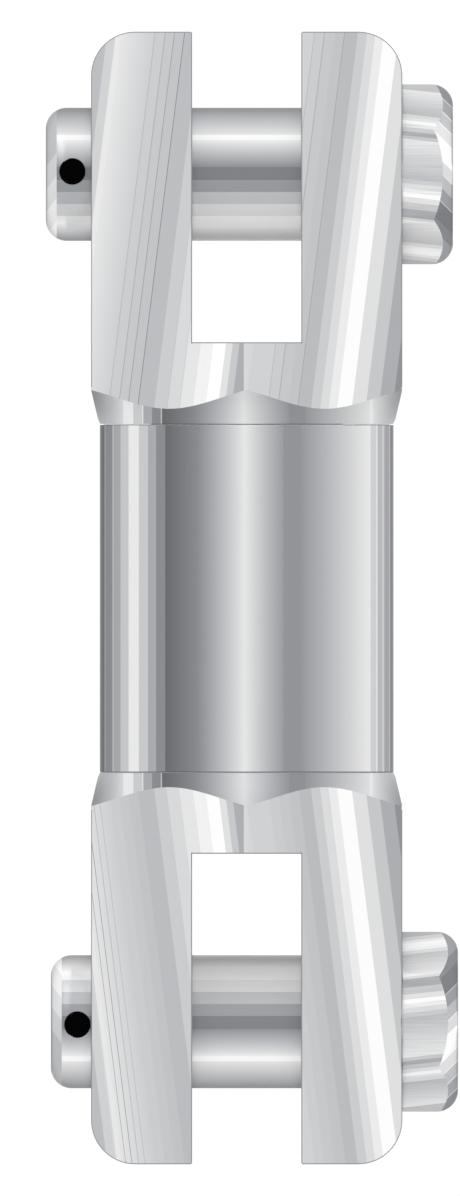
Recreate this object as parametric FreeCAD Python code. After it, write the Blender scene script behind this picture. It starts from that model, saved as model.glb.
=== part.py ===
"""Pulling swivel with a clevis at each end.

Two jaws are cut from hexagon bar. The upper jaw is one piece with a spindle that
hangs in the tubular housing on a thrust bearing, so it turns freely under load.
The lower jaw is screwed into the housing. Each jaw holds a hexagon-headed clevis
pin that a small black keeper pin stops from sliding out.

Millimetres. The origin is the middle of the lower clevis pin, +Z runs up the
swivel axis to the upper jaw, and +X runs along the pins towards their heads.
"""

import FreeCAD
import Part

import math
import os

V = FreeCAD.Vector
X, Y, Z = V(1, 0, 0), V(0, 1, 0), V(0, 0, 1)
CENTRE = V(0, 0, 0)
TINY = 1e-6              # lengths below this count as nothing

# Jaws
HEX_STEP = 2.1           # a jaw's side flats stand this far out from the housing
SLOT_WIDTH = 26.0
SLOT_DEPTH = 74.0
PIN_FROM_END = 34.0      # clevis pin axis to the open end of the jaw
JAW_BASE = 19.5          # solid metal between the slot and the housing
EAR_ROUND = 10.5         # outer corners of the ears
COLLAR_MID = 3.6         # height at which the flared collar meets the middle of a flat
COLLAR_CUSP = 8.1        # height at which it meets a corner of the hexagon
SIDE_LAND = 0.2          # the tapered foot of each side flat ends this far out from the housing
EDGE_BREAK = 0.3         # small chamfer on turned edges and on the edges of the slot
JOINT_BREAK = 0.12       # chamfer on the edges that meet at the two ends of the housing
CORNER_BREAK = 0.25      # chamfer on the corners of the hexagon bar and of its ear ends
SWIVEL_GAP = 0.25        # running gap between the housing and the upper jaw

# Clevis pins
PIN_D = 31.75
PIN_CLEARANCE = 0.1      # radial, pin to bore
HEAD_AF = 38.1
HEAD_TURN = 0.55         # the head's corners are turned down by this much
HEAD_THICK = 13.5
HEAD_ROUND = 5.1         # turned rounding of the head's corners
HEAD_EDGE = 2.3          # rounding along the flats' outer edges
HEAD_RECESS = 1.4        # depth of the seat sunk into the ear for the head
RECESS_ROOM = 0.15       # radial, head to its seat
TIP_ROUND = 5.0
TIP_LAND = 3.2           # keeper hole to the tip
KEEPER_D = 6.25
KEEPER_OUT = 3.0         # how far the keeper stands out of each side of the pin
KEEPER_GAP = 1.35        # keeper to ear, with the head in its seat
KEEPER_REST = 0.15       # keeper to ear, with the pin slid fully towards its head
KEEPER_TURN = 2.3        # degrees that the keeper holes lie out of line with the flats
KEEPER_GROOVE = 0.35     # depth of the three pressed grooves that hold the keeper

# Spindle, from its thread outwards
THREAD_D = 27.0
THRUST_STEP = 1.5        # thread to thrust bearing seat, radial
JOURNAL_STEP = 3.0       # thrust bearing seat to bush journal
NECK_STEP = 4.0          # bush journal to seal neck
TAIL_STEP = 3.5          # thread to the tail that carries the radial bearing
TAIL_ROOM = 2.7          # length of tail below the radial bearing
NECK_FILLET = 1.2
RUNNING = 0.05           # radial running clearance of the bush and the seal
END_PLAY = 0.2

# Stack of pieces along the axis, from the mouth of the housing down
SEAL_SINK = 1.45
SEAL_HEIGHT = 8.0
BUSH_FLANGE = 2.0
LOAD_FLANGE = 17.0       # inward flange of the housing that carries the pull
LOAD_LIP = 2.2           # part of that flange below the bush
THRUST_HEIGHT = 16.0
SPACER_THICK = 3.0
NUT_HEIGHT = 13.0
NUT_ROOM = 2.3           # free space under the nut
SPIGOT_LENGTH = 20.0     # threaded plug of the lower jaw

# Radial sizes of the housing and of what is inside it
THRUST_SECTION = 11.0    # half of outer minus bore
CHAMBER_ROOM = 1.0       # thrust bearing to chamber wall, radial
SPIGOT_STEP = 3.0        # chamber to spigot thread, radial
HOUSING_WALL = 5.0       # outside the spigot thread
MOUTH_WALL = 6.0         # outside the seal
BUSH_WALL = 3.0
BUSH_FLANGE_WIDTH = 4.0
LIP_ROOM = 1.0           # journal to load flange, radial
BALL_ROOM = 0.1          # ball to race
POCKET_ROOM = 0.2        # ball to cage

THRUST_BALL_D = 7.94
THRUST_BALLS = 12
THRUST_GROOVE = 1.2      # depth of a race groove in a washer
THRUST_CAGE_THICK = 3.0
CAGE_RIM = 0.8           # metal outside each pocket
WASHER_ROOM = 1.0        # spindle to the washer that stands still, radial

RADIAL_SECTION = 11.0
RADIAL_WIDTH = 12.0
RADIAL_BALL_D = 6.35
RADIAL_BALLS = 9
RADIAL_GROOVE = 0.8
RADIAL_CAGE_WIDTH = 9.0
RADIAL_CAGE_THICK = 2.4
RELIEF_DEPTH = 3.6       # blind bore under the radial bearing
RELIEF_LEDGE = 4.0       # ledge that the outer ring sits on, radial

NUT_WALL = 7.0           # thread to the nut's flats
NUT_SLOT_WIDTH = 4.6
NUT_SLOT_DEPTH = 5.0
NUT_CHAMFER = 1.2
COTTER_D = 3.6
COTTER_ROOM = 0.3
COTTER_LEG = 7.0
COTTER_EYE = 1.9
SPACER_WIDTH = 8.4
SPACER_ROOM = 0.1
CLIP_THICK = 1.2
CLIP_DEPTH = 0.7         # circlip groove in the tail
CLIP_WIDTH = 4.5
CLIP_MOUTH = 5.0

SEAL_LIP = 2.95          # spindle to the outside of the lip
WIPER_RIM = 0.9          # housing metal left outside the flange of the seal
WIPER_SINK = 2.0         # depth of that flange's seat in the top of the housing
WIPER_ROOM = 0.1         # flange to the upper jaw
SPRING_D = 1.6
RING_WIDTH = 3.0         # squeezed sealing ring between housing and spigot
RING_DEPTH = 2.5
RING_ROOM = 0.4
RING_FROM_FACE = 2.5
SCREW_D = 8.0
SCREW_DEPTH = 2.5        # how far the lock screw enters the spigot
SCREW_SINK = 0.8
SCREW_SOCKET_AF = 4.0
SCREW_SOCKET_DEPTH = 3.5
SCREW_UP = 10.0          # lock screw above the housing's foot
NIPPLE_RECESS_D = 16.0
NIPPLE_RECESS = 12.0
NIPPLE_THREAD_D = 8.0
NIPPLE_THREAD = 6.0
NIPPLE_AF = 9.0
NIPPLE_HEX = 4.0
NIPPLE_HEAD_D = 6.5
NIPPLE_NECK_D = 4.6
NIPPLE_HEAD = 6.5
GREASE_BORE_D = 4.0

# Heights along the swivel axis
LOWER_CROTCH = SLOT_DEPTH - PIN_FROM_END
HOUSING_FOOT = LOWER_CROTCH + JAW_BASE
SPIGOT_TOP = HOUSING_FOOT + SPIGOT_LENGTH
NUT_FOOT = SPIGOT_TOP + NUT_ROOM
SPACER_FOOT = NUT_FOOT + NUT_HEIGHT
THRUST_FOOT = SPACER_FOOT + SPACER_THICK
THRUST_TOP = THRUST_FOOT + THRUST_HEIGHT
LOAD_TOP = THRUST_TOP + LOAD_FLANGE
BUSH_TOP = LOAD_TOP + BUSH_FLANGE
SEAL_TOP = BUSH_TOP + SEAL_HEIGHT
HOUSING_TOP = SEAL_TOP + SEAL_SINK
UPPER_SHOULDER = HOUSING_TOP + SWIVEL_GAP
UPPER_PIN = UPPER_SHOULDER + JAW_BASE + SLOT_DEPTH - PIN_FROM_END
THRUST_MID = THRUST_FOOT + THRUST_HEIGHT / 2
RADIAL_FOOT = SPIGOT_TOP - RADIAL_WIDTH
RADIAL_MID = SPIGOT_TOP - RADIAL_WIDTH / 2
TAIL_END = RADIAL_FOOT - TAIL_ROOM
COTTER_UP = NUT_FOOT + NUT_SLOT_DEPTH / 2

# Radii
THREAD_R = THREAD_D / 2
THRUST_SEAT_R = THREAD_R + THRUST_STEP
JOURNAL_R = THRUST_SEAT_R + JOURNAL_STEP
NECK_R = JOURNAL_R + NECK_STEP
TAIL_R = THREAD_R - TAIL_STEP
THRUST_R = THRUST_SEAT_R + THRUST_SECTION
CHAMBER_R = THRUST_R + CHAMBER_ROOM
SPIGOT_R = CHAMBER_R + SPIGOT_STEP
HOUSING_R = SPIGOT_R + HOUSING_WALL
MOUTH_R = HOUSING_R - MOUTH_WALL
WIPER_R = HOUSING_R - WIPER_RIM
BUSH_IN_R = JOURNAL_R + RUNNING
BUSH_OUT_R = BUSH_IN_R + BUSH_WALL
RADIAL_R = TAIL_R + RADIAL_SECTION
PIN_R = PIN_D / 2
BORE_R = PIN_R + PIN_CLEARANCE
KEEPER_R = KEEPER_D / 2

# Hexagon of the jaws and of the pin heads
FLAT_R = HOUSING_R + HEX_STEP
CORNER_R = FLAT_R / math.cos(math.pi / 6)
HEAD_CORNER_R = HEAD_AF / 2 / math.cos(math.pi / 6) - HEAD_TURN
RECESS_R = HEAD_CORNER_R + RECESS_ROOM

# Places along a clevis pin, with its head in the seat
HEAD_SEAT = FLAT_R - HEAD_RECESS
TIP_OUT = KEEPER_GAP + KEEPER_D + TIP_LAND
KEEPER_X = -(FLAT_R + KEEPER_GAP + KEEPER_R)
PIN_FLOAT = KEEPER_GAP - KEEPER_REST


def edge(start, end, through=None):
    """Straight edge, or an arc through a third point, between (radius, height) points."""
    points = [V(r, 0, z) for r, z in ([start, through, end] if through else [start, end])]
    curve = Part.Arc(*points) if through else Part.LineSegment(*points)
    return curve.toShape()


def turned(outline):
    """Solid turned about Z. An outline entry is (radius, height), or a pair of those:
    a point that an arc passes through and the point where it ends."""
    edges = []
    here = outline[0]
    for step in outline[1:] + outline[:1]:
        through, end = step if isinstance(step[0], tuple) else (None, step)
        if end != here:
            edges.append(edge(here, end, through))
        here = end
    return Part.Face(Part.Wire(edges)).revolve(CENTRE, Z, 360)


def tube(outer, inner, foot, top):
    """Plain ring about Z."""
    return turned([(inner, foot), (outer, foot), (outer, top), (inner, top)])


def rod(radius, start, end):
    """Round bar between two points."""
    along = end - start
    return Part.makeCylinder(radius, along.Length, start, along)


def hexagon(across_flats, foot, top):
    """Hexagon bar about Z with two flats square to X."""
    corner = across_flats / 2 / math.cos(math.pi / 6)
    turns = [math.radians(30 + 60 * k) for k in range(7)]
    points = [V(corner * math.cos(t), corner * math.sin(t), foot) for t in turns]
    return Part.Face(Part.makePolygon(points)).extrude(V(0, 0, top - foot))


def slab(x0, x1, y0, y1, z0, z1):
    return Part.makeBox(x1 - x0, y1 - y0, z1 - z0, V(x0, y0, z0))


def around(shape, count):
    """Equally spaced copies about Z."""
    copies = []
    for k in range(count):
        copy = shape.copy()
        copy.rotate(CENTRE, Z, 360.0 * k / count)
        copies.append(copy)
    return copies


def laid_along_x(shape):
    """Turns a shape made about Z so that its +Z end points along +X."""
    shape.rotate(CENTRE, Y, 90)
    return shape


def lifted(shape, height):
    shape.translate(V(0, 0, height))
    return shape


def jaw():
    """A jaw standing on its shoulder at height 0, with its slot open upwards."""
    crotch, top = JAW_BASE, JAW_BASE + SLOT_DEPTH
    pin_up = top - PIN_FROM_END
    wide = 2 * CORNER_R

    # The ears' outer corners are rounded about lines that run front to back.
    bar = hexagon(2 * FLAT_R, 0, top)
    square = slab(FLAT_R - EAR_ROUND, wide, -wide, wide, top - EAR_ROUND, top + 1)
    rounding = rod(EAR_ROUND, V(FLAT_R - EAR_ROUND, -wide, top - EAR_ROUND),
                   V(FLAT_R - EAR_ROUND, wide, top - EAR_ROUND))
    corner = square.cut(rounding)
    bar = bar.cut([corner, corner.mirror(CENTRE, X)])
    rim = [e for e in bar.Edges if e.BoundBox.ZMax > TINY and not runs_front_to_back(e)]
    bar = bar.makeChamfer(CORNER_BREAK, rim)

    half = SLOT_WIDTH / 2
    bar = bar.cut(slab(-half, half, -wide, wide, crotch, top + 1))
    bar = bar.makeChamfer(EDGE_BREAK, [e for e in bar.Edges if rims_slot(e, half, crotch)])

    collar = turned([
        (0, 0),
        (HOUSING_R - JOINT_BREAK, 0),
        (HOUSING_R, JOINT_BREAK),
        ((FLAT_R, COLLAR_MID), (CORNER_R, COLLAR_CUSP)),
        (wide, COLLAR_CUSP + FLAT_R - HOUSING_R),
        (wide, top),
        (0, top),
    ])
    body = bar.common(collar)

    # The side flats lean in towards the housing at their feet.
    foot = HOUSING_R + SIDE_LAND
    lean = [V(foot, 0, 0), V(FLAT_R, 0, COLLAR_CUSP), V(wide, 0, COLLAR_CUSP), V(wide, 0, 0)]
    wedge = Part.Face(Part.makePolygon([p - V(0, wide, 0) for p in lean + lean[:1]]))
    taper = wedge.extrude(V(0, 2 * wide, 0))
    body = body.cut([taper, taper.mirror(CENTRE, X)])

    seat = rod(RECESS_R, V(HEAD_SEAT, 0, pin_up), V(wide, 0, pin_up))
    return body.cut([pin_bore(pin_up), seat])


def runs_front_to_back(side):
    """True for an edge along Y."""
    box = side.BoundBox
    return box.XLength < TINY and box.ZLength < TINY


def rims_slot(side, half, crotch):
    """True for an edge round the slot's mouth, but not for its two inner corners."""
    box = side.BoundBox
    on_wall = box.XLength < TINY and abs(abs(box.XMin) - half) < TINY
    on_floor = box.ZLength < TINY and abs(box.ZMin - crotch) < TINY
    return on_wall != on_floor


def pin_bore(pin_up):
    """Tool for the bore through both ears, with its edges broken at the slot and the tip."""
    half = SLOT_WIDTH / 2
    wide = 2 * CORNER_R
    mouth = BORE_R + EDGE_BREAK
    tool = laid_along_x(turned([
        (0, -wide),
        (mouth + wide - FLAT_R, -wide),
        (BORE_R, EDGE_BREAK - FLAT_R),
        (BORE_R, -half - EDGE_BREAK),
        (mouth, -half),
        (mouth, half),
        (BORE_R, half + EDGE_BREAK),
        (BORE_R, wide),
        (0, wide),
    ]))
    return lifted(tool, pin_up)


def upper_clevis():
    """Upper jaw in one piece with the stepped spindle."""
    groove_top = RADIAL_FOOT
    groove_foot = groove_top - CLIP_THICK
    bend = NECK_FILLET * (1 - math.sqrt(0.5))
    spindle = turned([
        (0, TAIL_END),
        (TAIL_R - CLIP_DEPTH, TAIL_END),
        (TAIL_R, TAIL_END + CLIP_DEPTH),
        (TAIL_R, groove_foot),
        (TAIL_R - CLIP_DEPTH, groove_foot),
        (TAIL_R - CLIP_DEPTH, groove_top),
        (TAIL_R, groove_top),
        (TAIL_R, SPIGOT_TOP),
        (THREAD_R, SPIGOT_TOP),
        (THREAD_R, THRUST_FOOT + END_PLAY),
        (THRUST_SEAT_R, THRUST_FOOT + END_PLAY),
        (THRUST_SEAT_R, THRUST_TOP + LOAD_LIP / 2),
        (JOURNAL_R, THRUST_TOP + LOAD_LIP / 2),
        (JOURNAL_R, BUSH_TOP + END_PLAY),
        (NECK_R, BUSH_TOP + END_PLAY),
        (NECK_R, UPPER_SHOULDER - NECK_FILLET),
        ((NECK_R + bend, UPPER_SHOULDER - bend), (NECK_R + NECK_FILLET, UPPER_SHOULDER)),
        (NECK_R + NECK_FILLET, UPPER_SHOULDER + EDGE_BREAK),
        (0, UPPER_SHOULDER + EDGE_BREAK),
    ])
    body = lifted(jaw(), UPPER_SHOULDER).fuse(spindle).removeSplitter()
    return body.cut(rod(COTTER_D / 2 + COTTER_ROOM, V(-THREAD_D, 0, COTTER_UP), V(THREAD_D, 0, COTTER_UP)))


def lower_clevis():
    """Lower jaw with the threaded plug that closes the housing."""
    hung = jaw()
    hung.rotate(CENTRE, X, 180)
    body = lifted(hung, HOUSING_FOOT)

    groove_foot = HOUSING_FOOT + RING_FROM_FACE
    groove_top = groove_foot + RING_WIDTH + 2 * RING_ROOM
    relief_foot = RADIAL_FOOT - RELIEF_DEPTH
    recess_top = LOWER_CROTCH + NIPPLE_RECESS
    plug = turned([
        (0, HOUSING_FOOT - EDGE_BREAK),
        (SPIGOT_R, HOUSING_FOOT - EDGE_BREAK),
        (SPIGOT_R, groove_foot),
        (SPIGOT_R - RING_DEPTH, groove_foot),
        (SPIGOT_R - RING_DEPTH, groove_top),
        (SPIGOT_R, groove_top),
        (SPIGOT_R, SPIGOT_TOP),
        (RADIAL_R, SPIGOT_TOP),
        (RADIAL_R, RADIAL_FOOT),
        (RADIAL_R - RELIEF_LEDGE, RADIAL_FOOT),
        (RADIAL_R - RELIEF_LEDGE, relief_foot),
        (0, relief_foot),
    ])
    passage = [
        rod(NIPPLE_RECESS_D / 2, V(0, 0, LOWER_CROTCH - 1), V(0, 0, recess_top)),
        rod(NIPPLE_THREAD_D / 2, V(0, 0, recess_top - 1), V(0, 0, recess_top + NIPPLE_THREAD)),
        rod(GREASE_BORE_D / 2, V(0, 0, recess_top), V(0, 0, relief_foot + 1)),
        lock_screw_hole(),
    ]
    return body.fuse(plug).removeSplitter().cut(passage)


def lock_screw_hole():
    """Radial hole at the back of the housing, ending in the spigot."""
    up = HOUSING_FOOT + SCREW_UP
    return rod(SCREW_D / 2, V(0, SPIGOT_R - SCREW_DEPTH, up), V(0, HOUSING_R + 1, up))


def swivel_housing():
    """Tube with an inward flange that the thrust bearing pulls up against."""
    lip_r = JOURNAL_R + LIP_ROOM
    shell = turned([
        (SPIGOT_R, HOUSING_FOOT),
        (HOUSING_R - JOINT_BREAK, HOUSING_FOOT),
        (HOUSING_R, HOUSING_FOOT + JOINT_BREAK),
        (HOUSING_R, HOUSING_TOP - JOINT_BREAK),
        (HOUSING_R - JOINT_BREAK, HOUSING_TOP),
        (WIPER_R, HOUSING_TOP),
        (WIPER_R, HOUSING_TOP - WIPER_SINK),
        (MOUTH_R, HOUSING_TOP - WIPER_SINK),
        (MOUTH_R, LOAD_TOP),
        (BUSH_OUT_R, LOAD_TOP),
        (BUSH_OUT_R, THRUST_TOP + LOAD_LIP),
        (lip_r, THRUST_TOP + LOAD_LIP),
        (lip_r, THRUST_TOP),
        (CHAMBER_R, THRUST_TOP),
        (CHAMBER_R, SPIGOT_TOP),
        (SPIGOT_R, SPIGOT_TOP),
    ])
    return shell.cut(lock_screw_hole())


def shaft_seal():
    """Rubber lip seal pressed into the mouth of the housing. Its flange keeps dirt out of
    the gap under the upper jaw."""
    foot, top = BUSH_TOP, SEAL_TOP
    flange_foot = HOUSING_TOP - WIPER_SINK
    flange_top = UPPER_SHOULDER - WIPER_ROOM
    lip = NECK_R + RUNNING
    back = NECK_R + SEAL_LIP
    web = SEAL_HEIGHT / 4
    shell_in = MOUTH_R - web
    return turned([
        (shell_in, foot),
        (MOUTH_R, foot),
        (MOUTH_R, flange_foot),
        (WIPER_R, flange_foot),
        (WIPER_R, flange_top),
        (MOUTH_R, flange_top),
        (MOUTH_R - SEAL_SINK, top),
        (lip + web * 0.7, top),
        (lip, top - web * 0.8),
        (lip + web * 0.5, top - web * 1.3),
        (lip + web * 0.5, foot + web * 1.9),
        (lip, foot + web * 1.3),
        (lip + web * 0.6, foot + web * 0.4),
        (back, foot + web * 0.4),
        (back, top - web),
        (shell_in, top - web),
    ])


def garter_spring():
    """Round spring that hugs the seal's lip."""
    around_lip = NECK_R + SEAL_LIP + SPRING_D / 2
    return Part.makeTorus(around_lip, SPRING_D / 2, V(0, 0, BUSH_TOP + SEAL_HEIGHT * 0.33))


def flanged_bush():
    foot = THRUST_TOP + LOAD_LIP
    flange_r = BUSH_OUT_R + BUSH_FLANGE_WIDTH
    return turned([
        (BUSH_IN_R, foot),
        (BUSH_OUT_R, foot),
        (BUSH_OUT_R, LOAD_TOP),
        (flange_r, LOAD_TOP),
        (flange_r, BUSH_TOP),
        (BUSH_IN_R + EDGE_BREAK, BUSH_TOP),
        (BUSH_IN_R, BUSH_TOP - EDGE_BREAK),
    ])


def thrust_washer(bore_r, outer_face, side):
    """Washer with a race groove. side is +1 where the balls lie above it and -1 below."""
    pitch = (THRUST_SEAT_R + THRUST_R) / 2
    race = THRUST_BALL_D / 2 + BALL_ROOM
    face = THRUST_MID - side * (THRUST_BALL_D / 2 - THRUST_GROOVE)
    half = math.sqrt(race ** 2 - (THRUST_MID - face) ** 2)
    return turned([
        (bore_r, outer_face),
        (THRUST_R, outer_face),
        (THRUST_R, face),
        (pitch + half, face),
        ((pitch, THRUST_MID - side * race), (pitch - half, face)),
        (bore_r, face),
    ])


def thrust_balls():
    pitch = (THRUST_SEAT_R + THRUST_R) / 2
    ball = Part.makeSphere(THRUST_BALL_D / 2, V(pitch, 0, THRUST_MID))
    return Part.makeCompound(around(ball, THRUST_BALLS))


def thrust_cage():
    """Flat ring with a round pocket for each ball."""
    pitch = (THRUST_SEAT_R + THRUST_R) / 2
    pocket = THRUST_BALL_D / 2 + POCKET_ROOM
    foot, top = THRUST_MID - THRUST_CAGE_THICK / 2, THRUST_MID + THRUST_CAGE_THICK / 2
    ring = tube(pitch + pocket + CAGE_RIM, pitch - pocket - CAGE_RIM, foot, top)
    hole = rod(pocket, V(pitch, 0, foot - 1), V(pitch, 0, top + 1))
    return ring.cut(around(hole, THRUST_BALLS))


def radial_ring(seat_r, side):
    """Ring of the radial bearing. side is +1 for the inner ring and -1 for the outer."""
    pitch = TAIL_R + RADIAL_SECTION / 2
    race = RADIAL_BALL_D / 2 + BALL_ROOM
    land = pitch - side * (RADIAL_BALL_D / 2 - RADIAL_GROOVE)
    half = math.sqrt(race ** 2 - (pitch - land) ** 2)
    return turned([
        (seat_r, RADIAL_FOOT),
        (land, RADIAL_FOOT),
        (land, RADIAL_MID - half),
        ((pitch - side * race, RADIAL_MID), (land, RADIAL_MID + half)),
        (land, SPIGOT_TOP),
        (seat_r, SPIGOT_TOP),
    ])


def radial_balls():
    pitch = TAIL_R + RADIAL_SECTION / 2
    ball = Part.makeSphere(RADIAL_BALL_D / 2, V(pitch, 0, RADIAL_MID))
    return Part.makeCompound(around(ball, RADIAL_BALLS))


def radial_cage():
    """Drilled sleeve that spaces the balls."""
    pitch = TAIL_R + RADIAL_SECTION / 2
    half = RADIAL_CAGE_WIDTH / 2
    sleeve = tube(pitch + RADIAL_CAGE_THICK / 2, pitch - RADIAL_CAGE_THICK / 2,
                  RADIAL_MID - half, RADIAL_MID + half)
    hole = rod(RADIAL_BALL_D / 2 + POCKET_ROOM, V(pitch / 2, 0, RADIAL_MID), V(pitch * 2, 0, RADIAL_MID))
    return sleeve.cut(around(hole, RADIAL_BALLS))


def nut_spacer():
    return tube(THREAD_R + SPACER_WIDTH, THREAD_R + SPACER_ROOM, SPACER_FOOT, THRUST_FOOT)


def castle_nut():
    """Hexagon nut with its slots downwards, one of them in line with the cotter."""
    flat = THREAD_R + NUT_WALL
    corner = flat / math.cos(math.pi / 6)
    drop = (corner - flat) / 2
    crown = turned([
        (THREAD_R, NUT_FOOT),
        (corner - NUT_CHAMFER, NUT_FOOT),
        (corner, NUT_FOOT + drop),
        (corner, SPACER_FOOT - drop),
        (corner - NUT_CHAMFER, SPACER_FOOT),
        (THREAD_R, SPACER_FOOT),
    ])
    nut = hexagon(2 * flat, NUT_FOOT, SPACER_FOOT).common(crown)
    half = NUT_SLOT_WIDTH / 2
    slot = slab(-2 * flat, 2 * flat, -half, half, NUT_FOOT - 1, NUT_FOOT + NUT_SLOT_DEPTH)
    return nut.cut(around(slot, 3))


def nut_cotter():
    """Split pin with a round eye and two legs bent round the nut."""
    flat = THREAD_R + NUT_WALL
    wire = COTTER_D / 4
    end = flat + 1.2 * wire
    eye = Part.makeTorus(COTTER_EYE, wire, V(-flat - COTTER_EYE, 0, COTTER_UP), Y)
    shank = rod(COTTER_D / 2, V(-flat, 0, COTTER_UP), V(end, 0, COTTER_UP))
    bent = rod(wire, V(end, -COTTER_LEG, COTTER_UP), V(end, COTTER_LEG, COTTER_UP))
    return shank.fuse([eye, bent]).removeSplitter()


def tail_clip():
    """Open circlip under the radial bearing."""
    inside = TAIL_R - CLIP_DEPTH
    ring = tube(inside + CLIP_WIDTH, inside, RADIAL_FOOT - CLIP_THICK, RADIAL_FOOT)
    return ring.cut(slab(0, 2 * TAIL_R, -CLIP_MOUTH / 2, CLIP_MOUTH / 2, TAIL_END, SPIGOT_TOP))


def joint_ring():
    """Rubber ring squeezed between the spigot and the housing."""
    foot = HOUSING_FOOT + RING_FROM_FACE + RING_ROOM
    top = foot + RING_WIDTH
    inside, outside = SPIGOT_R - RING_DEPTH, SPIGOT_R
    mid = (inside + outside) / 2
    bulge = RING_DEPTH / 3
    return turned([
        (inside, foot + bulge),
        ((mid, foot), (outside, foot + bulge)),
        (outside, top - bulge),
        ((mid, top), (inside, top - bulge)),
    ])


def lock_screw():
    """Socket screw that stops the lower jaw from unscrewing."""
    up = HOUSING_FOOT + SCREW_UP
    tip, top = SPIGOT_R - SCREW_DEPTH, HOUSING_R - SCREW_SINK
    screw = turned([
        (0, tip),
        (SCREW_D / 4, tip),
        (SCREW_D / 2, tip + SCREW_D / 4),
        (SCREW_D / 2, top - EDGE_BREAK),
        (SCREW_D / 2 - EDGE_BREAK, top),
        (0, top),
    ])
    screw = screw.cut(hexagon(SCREW_SOCKET_AF, top - SCREW_SOCKET_DEPTH, top + 1))
    screw.rotate(CENTRE, X, -90)
    return lifted(screw, up)


def grease_nipple():
    """Nipple in the crotch of the lower jaw, sunk below the slot."""
    seat = LOWER_CROTCH + NIPPLE_RECESS
    neck_top = seat - NIPPLE_HEX
    tip = neck_top - NIPPLE_HEAD
    ball_r = NIPPLE_HEAD_D / 2
    widest = tip + ball_r * 0.7
    stem = turned([
        (0, tip),
        (ball_r * 0.6, tip),
        (ball_r, widest),
        (ball_r, widest + ball_r * 0.5),
        (NIPPLE_NECK_D / 2, widest + ball_r),
        (NIPPLE_NECK_D / 2, neck_top + 1),
        (0, neck_top + 1),
    ])
    thread = rod(NIPPLE_THREAD_D / 2, V(0, 0, seat - 1), V(0, 0, seat + NIPPLE_THREAD))
    bore = rod(GREASE_BORE_D / 4, V(0, 0, tip - 1), V(0, 0, seat + NIPPLE_THREAD + 1))
    return hexagon(NIPPLE_AF, neck_top, seat).fuse([stem, thread]).removeSplitter().cut(bore)


def clevis_pin(turn):
    """Pin along X with a cross hole for its keeper near the tip, and a hexagon head at +X
    that has corners at its top and bottom."""
    head_end = HEAD_SEAT + HEAD_THICK
    tip = -(FLAT_R + TIP_OUT)
    over = 2 * HEAD_CORNER_R

    bar = hexagon(HEAD_AF, HEAD_SEAT, head_end)
    bar.rotate(CENTRE, Z, 30)
    rims = [e for e in bar.Edges if e.BoundBox.ZMin > head_end - HEAD_EDGE]
    bar = bar.makeFillet(HEAD_EDGE, rims)
    sweep = HEAD_ROUND * (1 - math.sqrt(0.5))
    dome = turned([
        (0, HEAD_SEAT),
        (HEAD_CORNER_R - EDGE_BREAK, HEAD_SEAT),
        (HEAD_CORNER_R, HEAD_SEAT + EDGE_BREAK),
        (HEAD_CORNER_R, head_end - HEAD_ROUND),
        ((HEAD_CORNER_R - sweep, head_end - sweep), (HEAD_CORNER_R - HEAD_ROUND, head_end)),
        (0, head_end),
    ])
    head = bar.common(dome)

    curl = TIP_ROUND * (1 - math.sqrt(0.5))
    shank = turned([
        (0, tip),
        (PIN_R - TIP_ROUND, tip),
        ((PIN_R - curl, tip + curl), (PIN_R, tip + TIP_ROUND)),
        (PIN_R, HEAD_SEAT + 1),
        (0, HEAD_SEAT + 1),
    ])
    pin = laid_along_x(head.fuse(shank).removeSplitter())
    hole = rod(KEEPER_R, V(KEEPER_X, -over, 0), V(KEEPER_X, over, 0))
    hole.rotate(CENTRE, X, turn)
    return pin.cut(hole)


def keeper_pin(turn):
    """Solid grooved pin that is driven through the clevis pin near its tip."""
    half = PIN_R + KEEPER_OUT
    bevel = KEEPER_GROOVE
    pin = turned([
        (0, -half),
        (KEEPER_R - bevel, -half),
        (KEEPER_R, bevel - half),
        (KEEPER_R, half - bevel),
        (KEEPER_R - bevel, half),
        (0, half),
    ])
    beside = KEEPER_R + KEEPER_GROOVE
    groove = rod(2 * KEEPER_GROOVE, V(beside, 0, -half - 1), V(beside, 0, half + 1))
    pin = pin.cut(around(groove, 3))
    pin.rotate(CENTRE, X, 90)
    pin.translate(V(KEEPER_X, 0, 0))
    pin.rotate(CENTRE, X, turn)
    return pin


def pin_set(name, turn, slide, height):
    """A clevis pin and its keeper, slid towards the head and lifted to the jaw's bore."""
    pieces = {name + "_clevis_pin": clevis_pin(turn), name + "_keeper_pin": keeper_pin(turn)}
    for shape in pieces.values():
        shape.translate(V(slide, 0, height))
    return pieces


def build():
    pieces = {
        "upper_clevis": upper_clevis(),
        "lower_clevis": lower_clevis(),
        "swivel_housing": swivel_housing(),
        "shaft_seal": shaft_seal(),
        "garter_spring": garter_spring(),
        "flanged_bush": flanged_bush(),
        "thrust_washer_fixed": thrust_washer(THRUST_SEAT_R + WASHER_ROOM, THRUST_TOP, -1),
        "thrust_washer_turning": thrust_washer(THRUST_SEAT_R, THRUST_FOOT, 1),
        "thrust_balls": thrust_balls(),
        "thrust_cage": thrust_cage(),
        "radial_outer_ring": radial_ring(RADIAL_R, -1),
        "radial_inner_ring": radial_ring(TAIL_R, 1),
        "radial_balls": radial_balls(),
        "radial_cage": radial_cage(),
        "nut_spacer": nut_spacer(),
        "castle_nut": castle_nut(),
        "nut_cotter": nut_cotter(),
        "tail_clip": tail_clip(),
        "joint_ring": joint_ring(),
        "lock_screw": lock_screw(),
        "grease_nipple": grease_nipple(),
    }
    pieces.update(pin_set("upper", -KEEPER_TURN, 0, UPPER_PIN))
    pieces.update(pin_set("lower", KEEPER_TURN, PIN_FLOAT, 0))
    return pieces


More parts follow.
